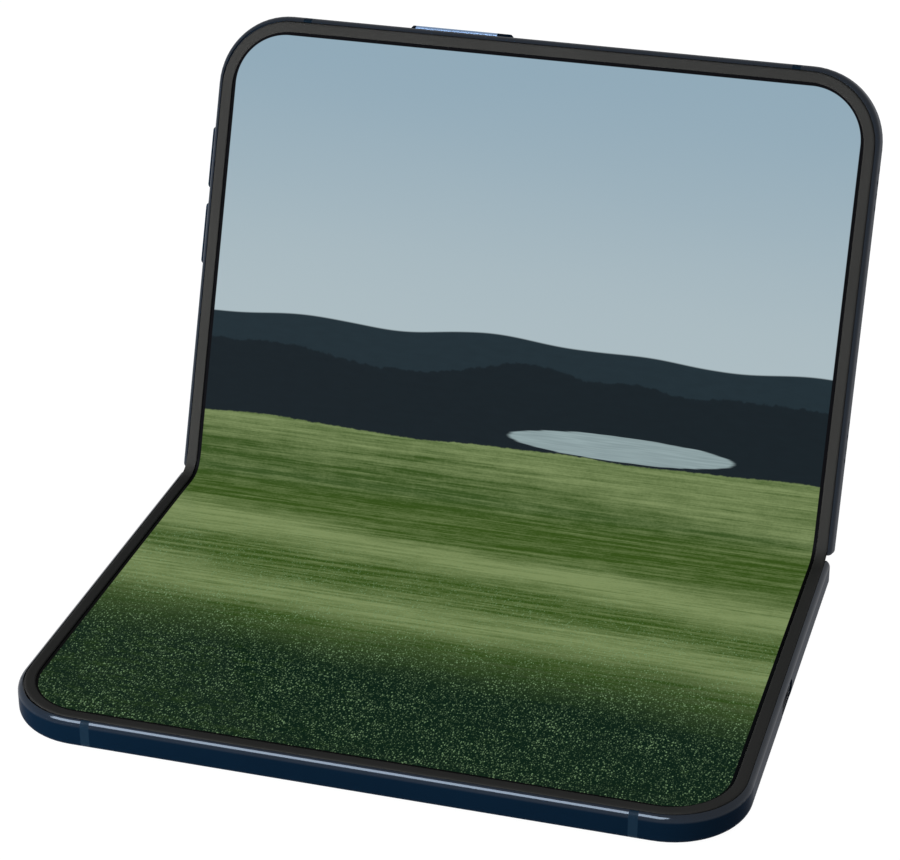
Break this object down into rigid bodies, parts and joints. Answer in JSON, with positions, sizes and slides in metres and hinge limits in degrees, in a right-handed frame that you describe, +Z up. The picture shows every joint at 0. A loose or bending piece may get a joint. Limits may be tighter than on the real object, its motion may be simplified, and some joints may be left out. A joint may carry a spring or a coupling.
{
  "type": "foldable smartphone",
  "caption": "Slim foldable smartphone standing part-way open, with a flexible inner screen, a half-round hinge spine, pressing side keys, a camera island and a charging port.",
  "frame": {"origin": "centre of the base half's underside, on its cover glass", "axes": "+X along the fold to the right as seen by the user, +Z up and out of the base half's screen, -Y towards the user; the lid half rises from the fold at the rear"},
  "size_m": [0.121, 0.1197, 0.0828],
  "materials": {
    "frame_metal": "fine satin anodised",
    "key_metal": "satin anodised",
    "sensor_face": "polished",
    "aerial_plastic": "matte",
    "screen": "glossy, lit",
    "bezel": "satin",
    "steel_plate": "brushed",
    "cover_glass": "polished",
    "cover_panel": "glossy",
    "back_glass": "frosted",
    "battery": "satin foil",
    "board": "matte",
    "module_plastic": "matte",
    "magnet": "nickel plated",
    "port_steel": "brushed",
    "port_plastic": "matte",
    "hinge_steel": "machined",
    "screw_steel": "black oxide",
    "spine_metal": "polished",
    "island_metal": "satin",
    "ring_metal": "polished",
    "lens_glass": "polished",
    "flash_glass": "frosted",
    "mesh_steel": "woven",
    "switch": "matte"
  },
  "bodies": {
    "base": {"base_frame": "frame_metal", "base_antenna_lines": "aerial_plastic", "base_screen": "screen", "base_screen_plate": "steel_plate", "base_bezel": "bezel", "cover_glass": "cover_glass", "cover_screen": "cover_panel", "base_battery": "battery", "charging_board": "board", "vibration_motor": "module_plastic", "base_magnets": "magnet", "usb_c_shell": "port_steel", "usb_c_tongue": "port_plastic", "base_hinge_screws": "screw_steel", "fold_screen": "screen", "fold_bezel_left": "bezel", "fold_bezel_right": "bezel", "base_hinge_wing_left": "hinge_steel", "base_hinge_wing_centre": "hinge_steel", "base_hinge_wing_right": "hinge_steel"},
    "lid": {"lid_frame": "frame_metal", "lid_antenna_lines": "aerial_plastic", "lid_screen": "screen", "lid_bezel": "bezel", "lid_screen_plate": "steel_plate", "back_glass": "back_glass", "lid_battery": "battery", "main_board": "board", "lower_speaker": "module_plastic", "upper_speaker": "module_plastic", "wide_camera": "module_plastic", "ultrawide_camera": "module_plastic", "lid_magnets": "magnet", "lid_hinge_wing_left": "hinge_steel", "lid_hinge_wing_centre": "hinge_steel", "lid_hinge_wing_right": "hinge_steel", "lid_hinge_screws": "screw_steel", "camera_island": "island_metal", "wide_lens_ring": "ring_metal", "ultrawide_lens_ring": "ring_metal", "wide_lens_glass": "lens_glass", "ultrawide_lens_glass": "lens_glass", "flash_window": "flash_glass", "lower_speaker_mesh": "mesh_steel", "upper_speaker_mesh": "mesh_steel", "microphone_mesh": "mesh_steel", "power_switch": "switch", "volume_up_switch": "switch", "volume_down_switch": "switch"},
    "spine": {"spine_cover": "spine_metal", "spine_cap_left": "spine_metal", "spine_cap_right": "spine_metal", "hinge_block_left": "hinge_steel", "hinge_block_centre": "hinge_steel", "hinge_block_right": "hinge_steel"},
    "power_key": {"power_button": "key_metal", "fingerprint_sensor": "sensor_face"},
    "volume_up_key": {"volume_up_button": "key_metal"},
    "volume_down_key": {"volume_down_button": "key_metal"}
  },
  "joints": [
    {"name": "lid_fold", "type": "hinge", "parent": "base", "child": "lid", "pos_m": [0, 0.04192, 0.00535], "axis": [1, 0, 0], "range_deg": [-68, 112], "deforming": ["fold_screen", "fold_bezel_left", "fold_bezel_right"]},
    {"name": "spine_turn", "type": "hinge", "parent": "base", "child": "spine", "pos_m": [0, 0.04192, 0.00535], "axis": [1, 0, 0], "range_deg": [-34, 56]},
    {"name": "power_press", "type": "slide", "parent": "lid", "child": "power_key", "axis": [0, -0.3746, -0.9272], "range_m": [0, 0.00025], "stiffness_N_per_m": 80, "springref_m": -0.003},
    {"name": "volume_up_press", "type": "slide", "parent": "lid", "child": "volume_up_key", "axis": [1, 0, 0], "range_m": [0, 0.00025], "stiffness_N_per_m": 80, "springref_m": -0.003},
    {"name": "volume_down_press", "type": "slide", "parent": "lid", "child": "volume_down_key", "axis": [1, 0, 0], "range_m": [0, 0.00025], "stiffness_N_per_m": 80, "springref_m": -0.003}
  ],
  "couplings": [
    {"joint": "spine_turn", "follows": "lid_fold", "ratio": 0.5}
  ]
}
